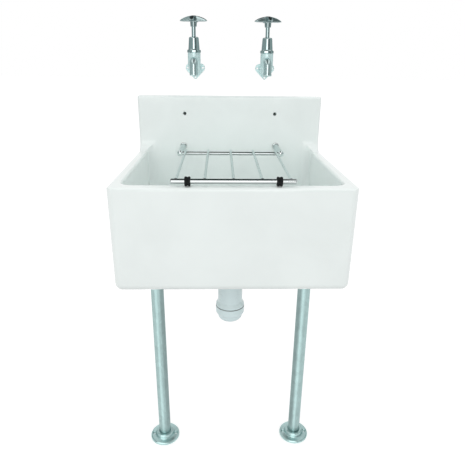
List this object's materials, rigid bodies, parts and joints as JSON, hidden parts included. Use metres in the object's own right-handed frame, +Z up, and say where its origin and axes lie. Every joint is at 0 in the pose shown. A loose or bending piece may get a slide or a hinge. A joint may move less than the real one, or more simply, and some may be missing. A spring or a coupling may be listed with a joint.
{
  "type": "utility laundry sink",
  "caption": "White fireclay tub with a raised back on the wall, a hinged bucket grating on its rim, a bottle trap, tubular front legs and a pair of cross-handle bib taps above.",
  "frame": {"origin": "on the wall plane, midway between the two fixing holes in the raised back", "axes": "+X to the right seen from in front, +Y into the wall, +Z up"},
  "size_m": [0.455, 0.4, 1],
  "materials": {
    "glaze": "glossy white glaze over fireclay",
    "polished_steel": "polished stainless bar",
    "chrome": "chrome plate over brass",
    "galvanised": "dull galvanised steel",
    "brass": "machined",
    "black_rubber": "matt",
    "white_washer": "soft white washer",
    "trap_plastic": "pale grey satin moulding"
  },
  "bodies": {
    "sink": {"basin": "glaze", "hinge_bracket_left": "polished_steel", "bracket_washer_left": "white_washer", "bracket_steel_washer_left": "galvanised", "bracket_nut_left": "galvanised", "hinge_bracket_right": "polished_steel", "bracket_washer_right": "white_washer", "bracket_steel_washer_right": "galvanised", "bracket_nut_right": "galvanised", "waste_flange": "polished_steel", "waste_top_seal": "black_rubber", "waste_bottom_seal": "black_rubber", "waste_back_nut": "trap_plastic", "trap_inlet_nut": "trap_plastic", "trap_inlet_seal": "black_rubber", "trap_body": "trap_plastic", "trap_inner_tube": "trap_plastic", "trap_cup": "trap_plastic", "trap_cup_seal": "black_rubber", "trap_outlet_nut": "trap_plastic", "trap_outlet_seal": "black_rubber", "leg_pad_left": "black_rubber", "leg_head_left": "galvanised", "leg_grub_screw_left": "galvanised", "leg_tube_left": "galvanised", "leg_foot_left": "galvanised", "leg_pad_right": "black_rubber", "leg_head_right": "galvanised", "leg_grub_screw_right": "galvanised", "leg_tube_right": "galvanised", "leg_foot_right": "galvanised", "left_wall_plate": "chrome", "left_tap_body": "chrome", "left_headgear": "chrome", "left_bonnet_cover": "chrome", "left_gland_nut": "brass", "right_wall_plate": "chrome", "right_tap_body": "chrome", "right_headgear": "chrome", "right_bonnet_cover": "chrome", "right_gland_nut": "brass"},
    "grating": {"grating_front_rail": "polished_steel", "grating_back_rail": "polished_steel", "grating_wire_1": "polished_steel", "grating_wire_2": "polished_steel", "grating_wire_3": "polished_steel", "grating_wire_4": "polished_steel", "grating_wire_5": "polished_steel", "grating_buffer_left": "black_rubber", "grating_buffer_right": "black_rubber"},
    "left_riser": {"left_jumper": "brass", "left_tap_washer": "black_rubber"},
    "left_spindle_set": {"left_spindle": "chrome", "left_handle": "chrome", "left_handle_cap": "chrome"},
    "right_riser": {"right_jumper": "brass", "right_tap_washer": "black_rubber"},
    "right_spindle_set": {"right_spindle": "chrome", "right_handle": "chrome", "right_handle_cap": "chrome"}
  },
  "joints": [
    {"name": "grating_lift", "type": "hinge", "parent": "sink", "child": "grating", "pos_m": [0, -0.125, -0.0795], "axis": [-1, 0, 0], "range_deg": [0, 103]},
    {"name": "left_tap_rise", "type": "slide", "parent": "sink", "child": "left_riser", "axis": [0, 0, 1], "range_m": [0, 0.005]},
    {"name": "left_tap_turn", "type": "hinge", "parent": "left_riser", "child": "left_spindle_set", "pos_m": [-0.085, -0.045, 0.206], "axis": [0, 0, 1], "range_deg": [0, 720]},
    {"name": "right_tap_rise", "type": "slide", "parent": "sink", "child": "right_riser", "axis": [0, 0, 1], "range_m": [0, 0.005]},
    {"name": "right_tap_turn", "type": "hinge", "parent": "right_riser", "child": "right_spindle_set", "pos_m": [0.085, -0.045, 0.206], "axis": [0, 0, 1], "range_deg": [0, 720]}
  ],
  "couplings": [
    {"joint": "left_tap_turn", "follows": "left_tap_rise", "rad_per_m": 2513.3},
    {"joint": "right_tap_turn", "follows": "right_tap_rise", "rad_per_m": 2513.3}
  ]
}
